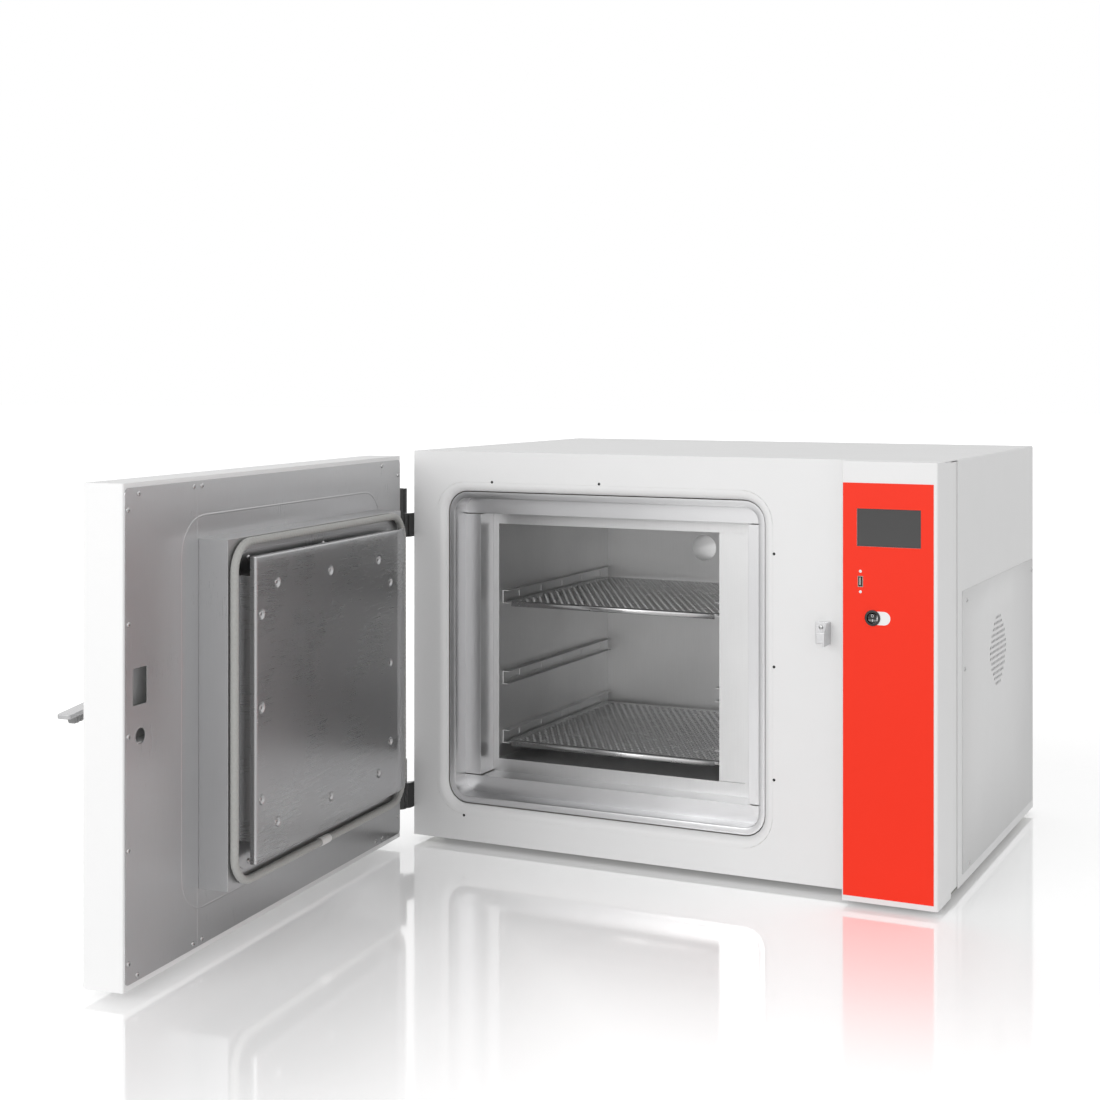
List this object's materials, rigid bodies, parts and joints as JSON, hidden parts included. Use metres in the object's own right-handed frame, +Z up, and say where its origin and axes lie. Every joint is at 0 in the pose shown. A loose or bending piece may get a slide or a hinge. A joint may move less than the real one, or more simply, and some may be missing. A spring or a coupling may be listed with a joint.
{
  "type": "high-temperature laboratory oven",
  "caption": "Bench-top high-temperature oven: square steel case, control tower, deep fan-heated chamber with sliding shelves, and a thick side-hung door with a plug, rope seal and lever latch.",
  "frame": {"origin": "centre of the front left foot's underside, on the bench", "axes": "+X to the oven's right, +Y to its back, +Z up; the door opens towards -Y"},
  "size_m": [0.9636, 1.4113, 0.645],
  "materials": {
    "case_paint": "satin",
    "door_paint": "satin",
    "label_red": "gloss",
    "display_glass": "gloss",
    "module_black": "matte",
    "board_green": "satin",
    "socket_metal": "satin",
    "screw_steel": "satin",
    "switch_black": "gloss",
    "stainless": "satin",
    "door_stainless": "satin",
    "plated_steel": "satin",
    "fibre": "matte",
    "rope": "matte",
    "sleeve_white": "matte",
    "element_sheath": "matte",
    "terminal_ceramic": "satin",
    "probe_steel": "satin",
    "motor_grey": "satin",
    "cooling_plastic": "satin",
    "inlet_black": "satin",
    "foot_black": "matte",
    "hinge_black": "gloss",
    "handle_silver": "satin",
    "handle_black": "satin"
  },
  "bodies": {
    "cabinet": {"outer_case": "case_paint", "front_fascia": "case_paint", "rear_panel": "case_paint", "base_pan": "case_paint", "feet": "foot_black", "access_panel": "case_paint", "cabinet_screws": "screw_steel", "control_tower": "case_paint", "label_panel": "label_red", "display_window": "display_glass", "display_module": "module_black", "control_board": "board_green", "usb_socket": "socket_metal", "front_screws": "screw_steel", "switch_housing": "switch_black", "throat_rim": "case_paint", "throat_frame_rails": "stainless", "throat_frame_uprights": "stainless", "chamber_liner": "stainless", "air_guide_panel": "stainless", "shelf_runners": "stainless", "chamber_insulation": "fibre", "bay_wall": "plated_steel", "motor_bracket": "plated_steel", "fan_motor": "motor_grey", "heating_elements": "element_sheath", "element_terminals": "terminal_ceramic", "temperature_probes": "probe_steel", "exhaust_duct": "stainless", "mains_inlet": "inlet_black", "component_plate": "plated_steel", "relay": "module_black", "terminal_block": "inlet_black", "door_keeper": "stainless", "case_hinge_halves": "hinge_black", "hinge_pins": "plated_steel"},
    "door": {"door_shell": "door_paint", "door_liner": "door_stainless", "door_insulation": "fibre", "plug_box": "door_stainless", "plug_face": "door_stainless", "rope_seal": "rope", "seal_sleeve": "sleeve_white", "inner_tray": "door_stainless", "tray_standoffs": "door_stainless", "door_screws": "screw_steel", "latch_case": "plated_steel", "handle_rose": "handle_black", "door_hinge_halves": "hinge_black"},
    "latch": {"latch_spindle": "plated_steel", "latch_cam": "plated_steel", "latch_lever": "handle_silver", "lever_grip": "handle_black"},
    "upper_shelf": {"upper_shelf": "stainless"},
    "lower_shelf": {"lower_shelf": "stainless"},
    "switch": {"switch_rocker": "switch_black"},
    "fan": {"fan_shaft": "plated_steel", "fan_impeller": "plated_steel", "cooling_wheel": "cooling_plastic"}
  },
  "joints": [
    {"name": "door_hinge", "type": "hinge", "parent": "cabinet", "child": "door", "pos_m": [-0.0593, -0.0796, 0.31], "axis": [0, 0, -1], "range_deg": [-83.8, 81]},
    {"name": "latch_turn", "type": "hinge", "parent": "door", "child": "latch", "pos_m": [-0.03911, -0.75064, 0.355], "axis": [0.9942, 0.108, 0], "range_deg": [-45, 0]},
    {"name": "upper_shelf_slide", "type": "slide", "parent": "cabinet", "child": "upper_shelf", "axis": [0, -1, 0], "range_m": [0, 0.35]},
    {"name": "lower_shelf_slide", "type": "slide", "parent": "cabinet", "child": "lower_shelf", "axis": [0, -1, 0], "range_m": [0, 0.35]},
    {"name": "power_switch", "type": "hinge", "parent": "cabinet", "child": "switch", "pos_m": [0.7552, -0.0975, 0.4198], "axis": [-1, 0, 0], "range_deg": [0, 9]},
    {"name": "fan_spin", "type": "hinge", "parent": "cabinet", "child": "fan", "pos_m": [0.485, 0.26, 0.325], "axis": [1, 0, 0], "continuous": true}
  ]
}
